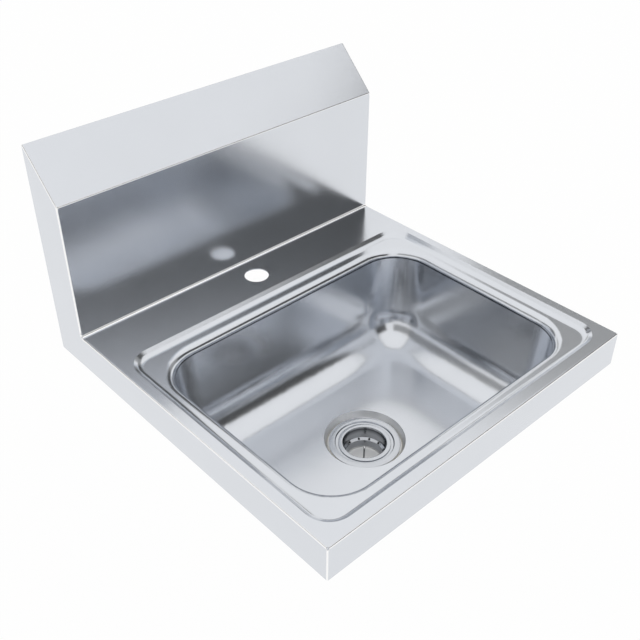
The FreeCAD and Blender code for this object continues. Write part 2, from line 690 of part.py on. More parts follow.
# The lift-out basket: a drawn cup whose rim lies in the dish, with a sloping perforated shoulder.
basket_cup = drain_body("basket_cup")
turn(basket_cup, "basket_shell", [
    (BASKET_RIM, BASKET_RIM_TOP),
    ("basket_bore", BASKET_RIM_TOP),
    ("basket_bore", SHOULDER),
    (CUP_RADIUS, SHOULDER_FOOT),
    (CUP_FLOOR_RADIUS, BASKET_FLOOR),
    (POST_BORE, BASKET_FLOOR),
    (POST_BORE, BASKET_FOOT),
    (f"{CUP_FLOOR_RADIUS} + basket_sheet", BASKET_FOOT),
    (f"{CUP_RADIUS} + basket_sheet", f"{SHOULDER_FOOT} - {SHOULDER_MITRE}"),
    ("basket_bore + basket_sheet", f"{SHOULDER} - {SHOULDER_MITRE}"),
    ("basket_bore + basket_sheet", BASKET_RIM_FOOT),
    (BASKET_RIM, BASKET_RIM_FOOT),
])
perforation = new_sketch(basket_cup, "perforation_circle", "XY", SHOULDER)
circle(perforation, f"(basket_bore + {CUP_RADIUS}) / 2", "0", "basket_hole_radius")
first_hole = pocket(basket_cup, "perforation", perforation, "basket_shoulder_drop + 2 * basket_sheet")
round_pattern(basket_cup, "perforations", first_hole, "basket_hole_count")

# The post goes through the cup's floor and the stopper, and a nut holds all three together.
KNOB_CENTRE = "(0 - post_knob_depth)"
POST_TOP = f"({KNOB_CENTRE} - sqrt(post_knob_radius ^ 2 - post_radius ^ 2))"
basket_post = drain_body("basket_post")
turn(basket_post, "post_rod", [
    ("0", POST_TOP),
    ("post_radius", POST_TOP),
    ("post_radius", POST_FOOT),
    ("0", POST_FOOT),
])
post_knob = doc.addObject("Part::Sphere", "post_knob")
post_knob.Label = "post_knob"
post_knob.setExpression("Radius", bound("post_knob_radius"))
post_knob.setExpression("Angle1", bound("-1 * acos(post_radius / post_knob_radius)"))
post_knob.setExpression("Placement.Base.y", bound(DRAIN_Y))
post_knob.setExpression("Placement.Base.z", bound(f"{FLOOR} + {KNOB_CENTRE}"))
bodies.append(post_knob)
washer("basket_stopper", POST_BORE, STOPPER_RADIUS, STOPPER_FOOT, BASKET_FOOT)
washer("post_washer", POST_BORE, "post_washer_radius", POST_WASHER_FOOT, STOPPER_FOOT)
post_nut = drain_body("post_nut")
nut_flats = new_sketch(post_nut, "post_nut_outline", "XY", POST_NUT_FOOT)
polygon(nut_flats, 6, "post_nut_flats")
pad(post_nut, "post_nut_block", nut_flats, "post_nut_height")
nut_hole = new_sketch(post_nut, "post_nut_circle", "XY", POST_WASHER_FOOT)
circle(nut_hole, "0", "0", POST_BORE)
pocket(post_nut, "post_nut_bore", nut_hole, "2 * post_nut_height")

# The wall bracket: a joggled strip. Its plate is screwed to the wall, and the sink's hanging
# flange drops behind its lip and stands on the joggle.
wall_bracket = new_body("wall_bracket")
joggle = new_sketch(wall_bracket, "bracket_section", "YZ")
SHELF = "(bracket_plate / 2)"
LIP_BACK = "(0 - sheet - seat_clearance)"
outline(joggle, [
    ("0", "0 - bracket_plate / 2"),
    ("0", SHELF),
    (LIP_BACK, SHELF),
    (LIP_BACK, f"{SHELF} + bracket_lip"),
    (f"{LIP_BACK} - bracket_sheet", f"{SHELF} + bracket_lip"),
    (f"{LIP_BACK} - bracket_sheet", f"{SHELF} - bracket_sheet"),
    ("0 - bracket_sheet", f"{SHELF} - bracket_sheet"),
    ("0 - bracket_sheet", "0 - bracket_plate / 2"),
])
pad(wall_bracket, "bracket_strip", joggle, BRACKET_WIDTH, middle=True)
screws = new_sketch(wall_bracket, "screw_circle", "XZ")
for number in range(SIZES["bracket_hole_count"]):
    across = f"({number} - (bracket_hole_count - 1) / 2) * {BRACKET_SPACING}"
    circle(screws, across, "0", "bracket_hole_radius")
pocket(wall_bracket, "screw_holes", screws, "2 * bracket_sheet", up=True)

doc.recompute()
broken = [item.Name for item in doc.Objects if "Invalid" in item.State or "Error" in item.State]
for body in bodies:
    if body.Shape.isNull() or not body.Shape.isValid() or len(body.Shape.Solids) != 1:
        broken.append(body.Label)
if broken:
    raise RuntimeError(f"not sound: {broken}")

os.makedirs("parts", exist_ok=True)
for body in bodies:
    body.Shape.exportStep(f"parts/{body.Label}.step")
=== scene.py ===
import math

import bmesh
import bpy
from mathutils import Matrix, Vector


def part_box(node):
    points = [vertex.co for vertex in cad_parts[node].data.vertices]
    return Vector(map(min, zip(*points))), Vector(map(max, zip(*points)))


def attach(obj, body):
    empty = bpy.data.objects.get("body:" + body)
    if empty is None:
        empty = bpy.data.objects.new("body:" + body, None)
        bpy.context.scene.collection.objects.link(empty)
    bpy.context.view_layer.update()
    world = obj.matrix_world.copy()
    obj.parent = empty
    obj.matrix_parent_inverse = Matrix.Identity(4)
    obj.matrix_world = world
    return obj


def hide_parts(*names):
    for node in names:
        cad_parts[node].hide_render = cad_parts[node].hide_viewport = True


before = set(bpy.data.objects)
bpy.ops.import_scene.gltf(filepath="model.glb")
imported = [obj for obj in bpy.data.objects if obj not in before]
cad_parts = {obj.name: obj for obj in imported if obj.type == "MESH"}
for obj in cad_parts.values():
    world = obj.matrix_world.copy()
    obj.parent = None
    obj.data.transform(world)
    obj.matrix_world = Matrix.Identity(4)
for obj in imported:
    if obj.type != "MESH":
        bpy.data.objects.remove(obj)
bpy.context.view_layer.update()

# Camera: stands in front of the sink on its left, a little over a forearm above the splash, and
# looks down at the bowl. The lens sees the photograph's square frame.
EYE = Vector((-0.5448, -0.7792, 0.4095))
HEADING = math.radians(42.99)
TILT = math.radians(36.24)
LEAN = math.radians(0.283)
SENSOR = 36.0
FOCAL = 50.10

forward = Vector((math.sin(HEADING) * math.cos(TILT), math.cos(HEADING) * math.cos(TILT), -math.sin(TILT)))
level_right = Vector((math.cos(HEADING), -math.sin(HEADING), 0.0))
level_up = level_right.cross(forward)
right = level_right * math.cos(LEAN) + level_up * math.sin(LEAN)
up = level_up * math.cos(LEAN) - level_right * math.sin(LEAN)
lens = bpy.data.cameras.new("camera")
lens.lens = FOCAL
lens.sensor_width = SENSOR
lens.clip_start = 0.01
camera = bpy.data.objects.new("camera", lens)
camera.matrix_world = Matrix.Translation(EYE) @ Matrix((right, up, -forward)).transposed().to_4x4()
bpy.context.scene.collection.objects.link(camera)
bpy.context.scene.camera = camera


def linear(code):
    """An sRGB hex colour as the linear colour that the shaders take."""
    parts = [int(code[place:place + 2], 16) / 255 for place in (1, 3, 5)]
    return [part / 12.92 if part <= 0.04045 else ((part + 0.055) / 1.055) ** 2.4 for part in parts] + [1.0]


def add_node(owner, kind, inputs=(), **settings):
    """One shader node on a material or world; each input takes a value or another node's socket."""
    node = owner.node_tree.nodes.new("ShaderNode" + kind)
    for name, setting in settings.items():
        setattr(node, name, setting)
    for socket, value in dict(inputs).items():
        if isinstance(value, bpy.types.NodeSocket):
            owner.node_tree.links.new(value, node.inputs[socket])
        else:
            node.inputs[socket].default_value = value
    return node


# Studio: a plain white surround of strength 1, which the camera, the steel and every other
# surface see alike, so that a colour renders about as it is written.
world = bpy.data.worlds.new("studio")
bpy.context.scene.world = world
world.use_nodes = True
world.node_tree.nodes["Background"].inputs["Color"].default_value = (1, 1, 1, 1)
world.node_tree.nodes["Background"].inputs["Strength"].default_value = 1.0
bpy.context.scene.view_settings.view_transform = "Standard"

# Floor: pale and plain, at the height of a kitchen floor under a sink hung at 0.86 m. It shows
# white to the camera and in the steel, and takes a soft share of the sink's shadow.
FLOOR_HEIGHT = -1.03
FLOOR_REACH = 30.0
SHADOW_SHARE = 0.06

ground = bpy.data.meshes.new("floor")
floor_corners = [(x * FLOOR_REACH, y * FLOOR_REACH, FLOOR_HEIGHT) for x, y in ((-1, -1), (1, -1), (1, 1), (-1, 1))]
ground.from_pydata(floor_corners, [], [(0, 1, 2, 3)])
floor = bpy.data.objects.new("floor", ground)
bpy.context.scene.collection.objects.link(floor)
pale_floor = bpy.data.materials.new("pale_floor_paint")
pale_floor.use_nodes = True
painted = pale_floor.node_tree.nodes["Principled BSDF"]
painted.inputs["Base Color"].default_value = linear("#F2F2F0")
painted.inputs["Roughness"].default_value = 0.9
path = add_node(pale_floor, "LightPath").outputs
looked_at = add_node(pale_floor, "Math", {0: path["Is Camera Ray"], 1: path["Is Glossy Ray"]}, operation="MAXIMUM")
looked_at = add_node(pale_floor, "Math", {0: looked_at.outputs[0], 1: path["Is Transmission Ray"]},
                     operation="MAXIMUM")
share = add_node(pale_floor, "Math", {0: looked_at.outputs[0], 1: 1 - SHADOW_SHARE}, operation="MULTIPLY")
white = add_node(pale_floor, "Emission", {"Color": (1, 1, 1, 1), "Strength": 1.0})
mixed = add_node(pale_floor, "MixShader", {0: share.outputs[0], 1: painted.outputs[0], 2: white.outputs[0]})
pale_floor.node_tree.links.new(mixed.outputs[0], pale_floor.node_tree.nodes["Material Output"].inputs["Surface"])
ground.materials.append(pale_floor)

# Studio cards: black cloth flags and grey card on stands round the sink, which give bare steel
# something dark to show. They are neutral, and are seen in reflections only, so that they take
# no light from the sink. Each row is a card's bearings and heights in degrees; 0 is the front.
CARD_DISTANCE = 4.0
CARD_PANES = 8
CARD_THREADS = 400
FLAG_CLOTH = ((-15, 72, 12, 37), (172, 228, 14, 36))
GREY_CARDS = ((72, 120, 14, 40), (128, 160, 14, 22), (232, 320, 22, 44))
for finish, tones, cards in (("black_flag_cloth", ("#4A4A4A", "#565656"), FLAG_CLOTH),
                             ("grey_card_stock", ("#A6A6A6", "#B0B0B0"), GREY_CARDS)):
    stock = bpy.data.materials.new(finish)
    stock.use_nodes = True
    weave = add_node(stock, "TexNoise", {"Scale": CARD_THREADS}).outputs["Fac"]
    shade = add_node(stock, "Mix", {"Factor": weave, "A": linear(tones[0]), "B": linear(tones[1])},
                     data_type="RGBA")
    matt = stock.node_tree.nodes["Principled BSDF"]
    stock.node_tree.links.new(shade.outputs["Result"], matt.inputs["Base Color"])
    matt.inputs["Roughness"].default_value = 1.0
    matt.inputs["Specular IOR Level"].default_value = 0.0
    for number, (start, stop, low, high) in enumerate(cards):
        columns = [start + (stop - start) * step / CARD_PANES for step in range(CARD_PANES + 1)]
        rim = [(CARD_DISTANCE * math.sin(math.radians(turn)) * math.cos(math.radians(rise)),
                -CARD_DISTANCE * math.cos(math.radians(turn)) * math.cos(math.radians(rise)),
                CARD_DISTANCE * math.sin(math.radians(rise))) for rise in (low, high) for turn in columns]
        panes = [(at, at + 1, at + CARD_PANES + 2, at + CARD_PANES + 1) for at in range(CARD_PANES)]
        board = bpy.data.meshes.new(finish)
        board.from_pydata(rim, [], panes)
        board.materials.append(stock)
        card = bpy.data.objects.new(f"{finish}_{number + 1}", board)
        bpy.context.scene.collection.objects.link(card)
        card.visible_camera = card.visible_diffuse = card.visible_shadow = card.visible_transmission = False

# Deck, splash and end panels: folded from 1.2 mm stainless sheet in a satin finish and welded at
# the corners. The satin spreads what the steel mirrors, more across the rolling grain than along it.
SATIN_GRAIN = 0.0007
SATIN_CLOUD = 0.09

satin_sheet = bpy.data.materials.new("satin_stainless_sheet")
satin_sheet.use_nodes = True
steel = satin_sheet.node_tree.nodes["Principled BSDF"]
steel.inputs["Metallic"].default_value = 1.0
place = add_node(satin_sheet, "TexCoord").outputs["Object"]
# the rolling mill's grain runs along the sheet, ten times longer than it is wide
rolled = add_node(satin_sheet, "Mapping", {"Vector": place, "Scale": (0.1, 1, 1)}).outputs[0]
grain = add_node(satin_sheet, "TexNoise", {"Vector": rolled, "Scale": 1 / SATIN_GRAIN, "Detail": 2}).outputs["Fac"]
cloud = add_node(satin_sheet, "TexNoise", {"Vector": place, "Scale": 1 / SATIN_CLOUD, "Detail": 3}).outputs["Fac"]
tone = add_node(satin_sheet, "Mix", {"Factor": cloud, "A": linear("#D8DBE0"), "B": linear("#DEE1E6")},
                data_type="RGBA")
# A narrow bright line is painted along the welded ends and the folds: a painted highlight for the light these rounded
# edges catch.
# Each row is one run of such edges: it holds where every coordinate or normal is below its limit.
spot = add_node(satin_sheet, "SeparateXYZ", {0: place}).outputs
facing = add_node(satin_sheet, "SeparateXYZ", {
    0: add_node(satin_sheet, "NewGeometry").outputs["True Normal"]}).outputs
read = {"x": spot["X"], "y": spot["Y"], "z": spot["Z"], "nx": facing["X"], "ny": facing["Y"], "nz": facing["Z"]}
for name in list(read):
    read["-" + name] = add_node(satin_sheet, "Math", {0: read[name], 1: -1}, operation="MULTIPLY").outputs[0]
for name in ("x", "nx", "ny"):
    read["|" + name] = add_node(satin_sheet, "Math", {0: read[name]}, operation="ABSOLUTE").outputs[0]
read["-|x"] = add_node(satin_sheet, "Math", {0: read["|x"], 1: -1}, operation="MULTIPLY").outputs[0]
PAINTED_HIGHLIGHT_EDGES = (
    {"-|x": -0.2148, "|nx": 0.985},
    {"y": -0.4359, "|ny": 0.985, "|nx": 0.5, "-z": 0.1735},
    {"y": -0.0495, "-z": 0.0165, "|ny": 0.985, "|nx": 0.5, "nz": 0.69},
    {"-y": 0.0544, "z": -0.1674, "|ny": 0.985, "|nx": 0.5, "nz": 0.985, "-z": 0.1705},
)
# painted shade: a dark band is painted along the foot of the rolled lip, where the gap to the bowl lies in shade
PAINTED_SHADE_LIP_FOOT = ({"z": -0.1836, "|x": 0.1835, "-y": 0.405, "y": -0.138},)
masks = []
for runs in (PAINTED_HIGHLIGHT_EDGES, PAINTED_SHADE_LIP_FOOT):
    mask = None
    for run in runs:
        inside = None
        for name, limit in run.items():
            under = add_node(satin_sheet, "Math", {0: read[name], 1: limit}, operation="LESS_THAN").outputs[0]
            inside = under if inside is None else add_node(
                satin_sheet, "Math", {0: inside, 1: under}, operation="MULTIPLY").outputs[0]
        mask = inside if mask is None else add_node(
            satin_sheet, "Math", {0: mask, 1: inside}, operation="MAXIMUM").outputs[0]
    masks.append(mask)
# here the painted shade goes onto the lip's foot, and the painted highlight onto the edges
lip_foot_shaded = add_node(satin_sheet, "Mix", {"Factor": masks[1], "A": tone.outputs["Result"], "B": linear("#54575C")},
                  data_type="RGBA")
edge_highlighted = add_node(satin_sheet, "Mix", {"Factor": masks[0], "A": lip_foot_shaded.outputs["Result"], "B": linear("#FCFCFC")},
                 data_type="RGBA")
satin_sheet.node_tree.links.new(edge_highlighted.outputs["Result"], steel.inputs["Base Color"])
dull = add_node(satin_sheet, "MapRange", {"Value": grain, "From Min": 0.3, "From Max": 0.7,
                                          "To Min": 0.17, "To Max": 0.21}).outputs[0]
satin_sheet.node_tree.links.new(dull, steel.inputs["Roughness"])
scratch = add_node(satin_sheet, "Bump", {"Height": grain, "Strength": 0.1, "Distance": 0.00001})
satin_sheet.node_tree.links.new(scratch.outputs[0], steel.inputs["Normal"])
for name in ("deck_splash", "left_end_panel", "right_end_panel"):
    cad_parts[name].data.materials.clear()
    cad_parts[name].data.materials.append(satin_sheet)

# Bowl: drawn in one press stroke from 1.2 mm stainless and polished to the same satin. Drawing
# leaves the walls very slightly wavy.
DRAW_WAVE = 0.05
POLISH_GRAIN = 0.0006
BOWL_FLOOR = -0.3026
SEAT_RADIUS = 0.0472
SEAT_EDGE_DROP = 0.0002

drawn_steel = bpy.data.materials.new("drawn_satin_stainless")
drawn_steel.use_nodes = True
steel = drawn_steel.node_tree.nodes["Principled BSDF"]
steel.inputs["Metallic"].default_value = 1.0
place = add_node(drawn_steel, "TexCoord").outputs["Object"]
polish = add_node(drawn_steel, "TexNoise", {"Vector": place, "Scale": 1 / POLISH_GRAIN, "Detail": 2}).outputs["Fac"]
wave = add_node(drawn_steel, "TexNoise", {"Vector": place, "Scale": 1 / DRAW_WAVE, "Detail": 1}).outputs["Fac"]
tone = add_node(drawn_steel, "Mix", {"Factor": wave, "A": linear("#D8DBE0"), "B": linear("#DEE1E6")},
                data_type="RGBA")
# the slope of the pressed drain seat is painted bright, a painted highlight, and is made a little rougher
drain_low, drain_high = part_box("strainer_body")
drain_axis = Vector((0, (drain_low[1] + drain_high[1]) / 2, BOWL_FLOOR))
from_drain = add_node(drawn_steel, "VectorMath", {0: place, 1: drain_axis}, operation="SUBTRACT").outputs["Vector"]
level = add_node(drawn_steel, "VectorMath", {0: from_drain, 1: (1, 1, 0)}, operation="MULTIPLY").outputs["Vector"]
radius_here = add_node(drawn_steel, "VectorMath", {0: level}, operation="LENGTH").outputs["Value"]
drop = add_node(drawn_steel, "SeparateXYZ", {0: from_drain}).outputs["Z"]
sunk = add_node(drawn_steel, "Math", {0: drop, 1: -SEAT_EDGE_DROP}, operation="LESS_THAN").outputs[0]
inner = add_node(drawn_steel, "Math", {0: radius_here, 1: SEAT_RADIUS}, operation="LESS_THAN").outputs[0]
seat_highlight = add_node(drawn_steel, "Math", {0: sunk, 1: inner}, operation="MULTIPLY").outputs[0]
bright = add_node(drawn_steel, "Mix", {"Factor": seat_highlight, "A": tone.outputs["Result"], "B": linear("#F4F4F4")},
                  data_type="RGBA")
drawn_steel.node_tree.links.new(bright.outputs["Result"], steel.inputs["Base Color"])
dull = add_node(drawn_steel, "MapRange", {"Value": polish, "From Min": 0.3, "From Max": 0.7,
                                          "To Min": 0.17, "To Max": 0.21}).outputs[0]
seat_highlight_dull = add_node(drawn_steel, "Math", {0: seat_highlight, 1: 0.16, 2: dull}, operation="MULTIPLY_ADD").outputs[0]
drawn_steel.node_tree.links.new(seat_highlight_dull, steel.inputs["Roughness"])
drawn = add_node(drawn_steel, "Bump", {"Height": wave, "Strength": 0.3, "Distance": 0.0002})
ground_in = add_node(drawn_steel, "Bump", {"Height": polish, "Strength": 0.08, "Distance": 0.00001,
                                           "Normal": drawn.outputs[0]})
drawn_steel.node_tree.links.new(ground_in.outputs[0], steel.inputs["Normal"])
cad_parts["bowl"].data.materials.clear()
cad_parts["bowl"].data.materials.append(drawn_steel)

# Drain: a turned and polished stainless strainer body with two rolled threads, a thin drawn and
# pierced basket that lies loose in it, and a plain waste tube with a flared end. Each section
# lists (radius, height from the bowl's floor, rounding of the corner) in mm, round the drain's axis.
THREAD_PITCH = 1.8
THREAD_DEPTH = 0.6
TURNED_STEPS = 144
ROUNDING_STEPS = 4


def thread(radius, top, foot):
    """The zigzag of a thread's side, from top down to foot."""
    turns = int((top - foot) / THREAD_PITCH)
    return [(radius - THREAD_DEPTH * (step % 2), top - THREAD_PITCH * step / 2, 0.1)
            for step in range(2 * turns + 1)]


body_section = (
    [(41.6, -5.2, 0.8), (34.3, -5.2, 0.35), (33.5, -7.2, 0.3), (27.8, -7.2, 0.5), (27.8, -43.7, 2.0),
     (17.8, -49.7, 1.0), (17.8, -67.7, 0.3), (21.2, -67.7, 0.4)]
    + thread(21.8, -53.0, -66.0)[::-1]
    + [(21.8, -51.2, 0.5), (29.3, -45.2, 1.2)]
    + thread(29.3, -13.5, -42.0)[::-1]
    + [(29.3, -8.7, 0.5), (35.8, -8.7, 0.6), (35.8, -7.0, 0.3), (41.6, -7.0, 0.3)])
cup_section = [
    (30.4, -6.1, 0.35), (25.3, -6.1, 0.7), (25.3, -22.4, 0.6), (22.0, -24.7, 0.6), (20.5, -34.7, 1.5),
    (1.3, -34.7, 0.1), (1.3, -35.5, 0.1), (21.3, -35.5, 2.2), (22.8, -25.12, 0.6), (26.1, -22.82, 0.9),
    (26.1, -6.9, 0.4), (30.4, -6.9, 0.35)]
tube_section = [
    (18.05, -69.7, 0.4), (21.65, -69.7, 0.3), (21.65, -71.2, 0.3), (19.35, -71.2, 0.5), (19.35, -75.2, 0.2),
    (19.05, -75.3, 0.2), (19.05, -171.2, 0.4), (18.05, -171.2, 0.4)]
turned = {}
for label, section in (("drain_flange_body", body_section), ("basket_shell", cup_section),
                       ("waste_tube", tube_section)):
    outline = []
    for number, (radius, height, rounding) in enumerate(section):
        here = Vector((radius, height))
        before = Vector(section[number - 1][:2]) - here
        after = Vector(section[(number + 1) % len(section)][:2]) - here
        spread = before.angle(after)
        reach = min(rounding / math.tan(spread / 2), 0.45 * before.length, 0.45 * after.length)
        start, end = here + before.normalized() * reach, here + after.normalized() * reach
        for step in range(ROUNDING_STEPS + 1):
            share = step / ROUNDING_STEPS
            outline.append(start * (1 - share) ** 2 + here * 2 * share * (1 - share) + end * share ** 2)
    rings = []
    for step in range(TURNED_STEPS):
        angle = 2 * math.pi * step / TURNED_STEPS
        rings.append([drain_axis + Vector((point.x * math.cos(angle), point.x * math.sin(angle), point.y)) / 1000
                      for point in outline])
    count = len(outline)
    faces = [(ring * count + point, ring * count + (point + 1) % count,
              (ring + 1) % TURNED_STEPS * count + (point + 1) % count, (ring + 1) % TURNED_STEPS * count + point)
             for ring in range(TURNED_STEPS) for point in range(count)]
    mesh = bpy.data.meshes.new(label)
    mesh.from_pydata([corner for ring in rings for corner in ring], [], faces)
    shape = bmesh.new()
    shape.from_mesh(mesh)
    bmesh.ops.remove_doubles(shape, verts=shape.verts, dist=1e-7)
    bmesh.ops.recalc_face_normals(shape, faces=shape.faces)
    shape.to_mesh(mesh)
    shape.free()
    mesh.shade_smooth()
    mesh.set_sharp_from_angle(angle=math.radians(35))
    turned[label] = bpy.data.objects.new(label, mesh)
    bpy.context.scene.collection.objects.link(turned[label])

# twelve round holes are pierced straight down through the cup's sloping shoulder
PIERCING_RADIUS = 1.25
PIERCING_RING = 23.65
PIERCING_HEIGHT = -24.0
PIERCINGS = 12
punches = bmesh.new()
for step in range(PIERCINGS):
    angle = 2 * math.pi * step / PIERCINGS
    middle = drain_axis + Vector((PIERCING_RING * math.cos(angle), PIERCING_RING * math.sin(angle),
                                  PIERCING_HEIGHT)) / 1000
    bmesh.ops.create_cone(punches, cap_ends=True, segments=24, radius1=PIERCING_RADIUS / 1000,
                          radius2=PIERCING_RADIUS / 1000, depth=0.006, matrix=Matrix.Translation(middle))
punch_mesh = bpy.data.meshes.new("punches")
punches.to_mesh(punch_mesh)
punches.free()
punch_tool = bpy.data.objects.new("punches", punch_mesh)
bpy.context.scene.collection.objects.link(punch_tool)
shell = turned["basket_shell"]
pierce = shell.modifiers.new("pierce", "BOOLEAN")
pierce.object = punch_tool
pierce.solver = "EXACT"
pierced = bpy.data.meshes.new_from_object(shell.evaluated_get(bpy.context.evaluated_depsgraph_get()))
shell.modifiers.clear()
shell.data = pierced
pierced.set_sharp_from_angle(angle=math.radians(35))
bpy.data.objects.remove(punch_tool)

# The lathe leaves very fine rings round the axis, which the buffing has not quite taken out.
LATHE_RING = 0.0003
FINGER_SMUDGE = 1 / 60
BORE_RADIUS = 0.0286
BORE_FOOT = -0.0452
CUP_FLOOR_TOP = -0.0325
CUP_FLOOR_FOOT = -0.0352
turned_steel = bpy.data.materials.new("turned_polished_stainless")
turned_steel.use_nodes = True
steel = turned_steel.node_tree.nodes["Principled BSDF"]
steel.inputs["Metallic"].default_value = 1.0
place = add_node(turned_steel, "TexCoord").outputs["Object"]
centred = add_node(turned_steel, "VectorMath", {0: place, 1: drain_axis}, operation="SUBTRACT").outputs["Vector"]
rings_seen = add_node(turned_steel, "TexWave", {"Vector": centred, "Scale": 0.314 / LATHE_RING, "Distortion": 0.6,
                                                "Detail": 2, "Detail Scale": 1.5},
                      wave_type="RINGS", rings_direction="Z").outputs["Fac"]
smudge = add_node(turned_steel, "TexNoise", {"Vector": place, "Scale": 1 / FINGER_SMUDGE, "Detail": 3}).outputs["Fac"]
tone = add_node(turned_steel, "Mix", {"Factor": smudge, "A": linear("#C6C9CE"), "B": linear("#D2D5DA")},
                data_type="RGBA")
# only the flange and the rims stay bright; the deep bores are painted dark, a painted shade, which
# fades toward the foot of the basket, but not in the strainer body
depth = add_node(turned_steel, "SeparateXYZ", {0: centred}).outputs["Z"]
shade = add_node(turned_steel, "MapRange", {"Value": depth, "From Min": -0.0075, "From Max": -0.0095,
                                            "To Min": 0, "To Max": 1}, interpolation_type="SMOOTHSTEP").outputs[0]
lit = add_node(turned_steel, "MapRange", {"Value": depth, "From Min": -0.0095, "From Max": -0.016,
                                          "To Min": 1, "To Max": 0.25}, name="bore_shade_fading").outputs[0]
level = add_node(turned_steel, "VectorMath", {0: centred, 1: (1, 1, 0)}, operation="MULTIPLY").outputs["Vector"]
radius_here = add_node(turned_steel, "VectorMath", {0: level}, operation="LENGTH").outputs["Value"]
in_bore = add_node(turned_steel, "Math", {0: radius_here, 1: BORE_RADIUS}, operation="LESS_THAN").outputs[0]
over_cone = add_node(turned_steel, "Math", {0: depth, 1: BORE_FOOT}, operation="GREATER_THAN").outputs[0]
bore_shade = shade
for part in (lit, in_bore, over_cone):
    bore_shade = add_node(turned_steel, "Math", {0: bore_shade, 1: part}, operation="MULTIPLY").outputs[0]
bore_shaded = add_node(turned_steel, "Mix", {"Factor": bore_shade, "A": tone.outputs["Result"], "B": linear("#5A5C60")},
                  data_type="RGBA")
# the cup's floor is painted pale, painted light standing in for the bright sky it mirrors, and is left matt by the
# drawing press
below = add_node(turned_steel, "Math", {0: depth, 1: CUP_FLOOR_TOP}, operation="LESS_THAN").outputs[0]
above = add_node(turned_steel, "Math", {0: depth, 1: CUP_FLOOR_FOOT}, operation="GREATER_THAN").outputs[0]
cup_floor = add_node(turned_steel, "Math", {0: below, 1: above}, operation="MULTIPLY").outputs[0]
pale = add_node(turned_steel, "Mix", {"Factor": cup_floor, "A": bore_shaded.outputs["Result"], "B": linear("#F0F0F0")},
                data_type="RGBA")
turned_steel.node_tree.links.new(pale.outputs["Result"], steel.inputs["Base Color"])
gloss = add_node(turned_steel, "MapRange", {"Value": smudge, "To Min": 0.1, "To Max": 0.18}).outputs[0]
dull = add_node(turned_steel, "Math", {0: cup_floor, 1: 0.4, 2: gloss}, operation="MULTIPLY_ADD").outputs[0]
turned_steel.node_tree.links.new(dull, steel.inputs["Roughness"])
cut_rings = add_node(turned_steel, "Bump", {"Height": rings_seen, "Strength": 0.15, "Distance": 0.000008})
turned_steel.node_tree.links.new(cut_rings.outputs[0], steel.inputs["Normal"])
# the strainer body's bore keeps its painted shade at full strength, without fading
bore_steel = turned_steel.copy()
bore_steel.name = "bore_shaded_stainless"
bore_steel.node_tree.nodes["bore_shade_fading"].inputs["To Max"].default_value = 1.0
for label, node, body, finish, material in (
        ("drain_flange_body", "strainer_body", "sink", "drain_steel", bore_steel),
        ("waste_tube", "tailpiece", "sink", "drain_steel", turned_steel),
        ("basket_shell", "basket_cup", "basket", "basket_steel", turned_steel)):
    piece = turned[label]
    piece.data.materials.clear()
    piece.data.materials.append(material)
    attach(piece, body)
    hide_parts(node)

# Post, knob, washer and nut of the basket: small turned and cold-headed stainless pieces, painted darker
# than the bowl as painted shade, because they stand in its shade; their tone varies at random in small specks.
OIL_SPECK = 0.0025
fastener_steel = bpy.data.materials.new("headed_stainless")
fastener_steel.use_nodes = True
steel = fastener_steel.node_tree.nodes["Principled BSDF"]
steel.inputs["Metallic"].default_value = 1.0
place = add_node(fastener_steel, "TexCoord").outputs["Object"]
oil = add_node(fastener_steel, "TexNoise", {"Vector": place, "Scale": 1 / OIL_SPECK, "Detail": 3}).outputs["Fac"]
tone = add_node(fastener_steel, "Mix", {"Factor": oil, "A": linear("#606266"), "B": linear("#85878A")},
                data_type="RGBA", name="tone")
fastener_steel.node_tree.links.new(tone.outputs["Result"], steel.inputs["Base Color"])
dull = add_node(fastener_steel, "MapRange", {"Value": oil, "To Min": 0.15, "To Max": 0.28}).outputs[0]
fastener_steel.node_tree.links.new(dull, steel.inputs["Roughness"])
for name in ("basket_post", "post_washer", "post_nut"):
    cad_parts[name].data.materials.clear()
    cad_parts[name].data.materials.append(fastener_steel)
# the knob on the post gets a lit copy of the same steel, painted bright as a painted highlight
highlight_knob = fastener_steel.copy()
highlight_knob.name = "knob_painted_highlight"
highlight_knob.node_tree.nodes["tone"].inputs["A"].default_value = linear("#EDEDED")
highlight_knob.node_tree.nodes["tone"].inputs["B"].default_value = linear("#F8F8F8")
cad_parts["post_knob"].data.materials.clear()
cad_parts["post_knob"].data.materials.append(highlight_knob)

# Lock nut and coupling nut: cast zinc with a thin plated skin, slightly pitted, so their light is
# broken up. The casting's edges are rounded by half a millimetre.
CAST_PIT = 0.0012
CAST_EDGE = 0.0005
PLATING_STAIN = 1 / 90
cast_zinc = bpy.data.materials.new("plated_cast_zinc")
cast_zinc.use_nodes = True
zinc = cast_zinc.node_tree.nodes["Principled BSDF"]
zinc.inputs["Metallic"].default_value = 1.0
place = add_node(cast_zinc, "TexCoord").outputs["Object"]
pits = add_node(cast_zinc, "TexNoise", {"Vector": place, "Scale": 1 / CAST_PIT, "Detail": 4}).outputs["Fac"]
stain = add_node(cast_zinc, "TexNoise", {"Vector": place, "Scale": 1 / PLATING_STAIN, "Detail": 3}).outputs["Fac"]
tone = add_node(cast_zinc, "Mix", {"Factor": stain, "A": linear("#A7A6A2"), "B": linear("#BDBCB9")},
                data_type="RGBA")
cast_zinc.node_tree.links.new(tone.outputs["Result"], zinc.inputs["Base Color"])
dull = add_node(cast_zinc, "MapRange", {"Value": pits, "To Min": 0.35, "To Max": 0.55}).outputs[0]
cast_zinc.node_tree.links.new(dull, zinc.inputs["Roughness"])
pitted = add_node(cast_zinc, "Bump", {"Height": pits, "Strength": 0.4, "Distance": 0.00008})
cast_zinc.node_tree.links.new(pitted.outputs[0], zinc.inputs["Normal"])
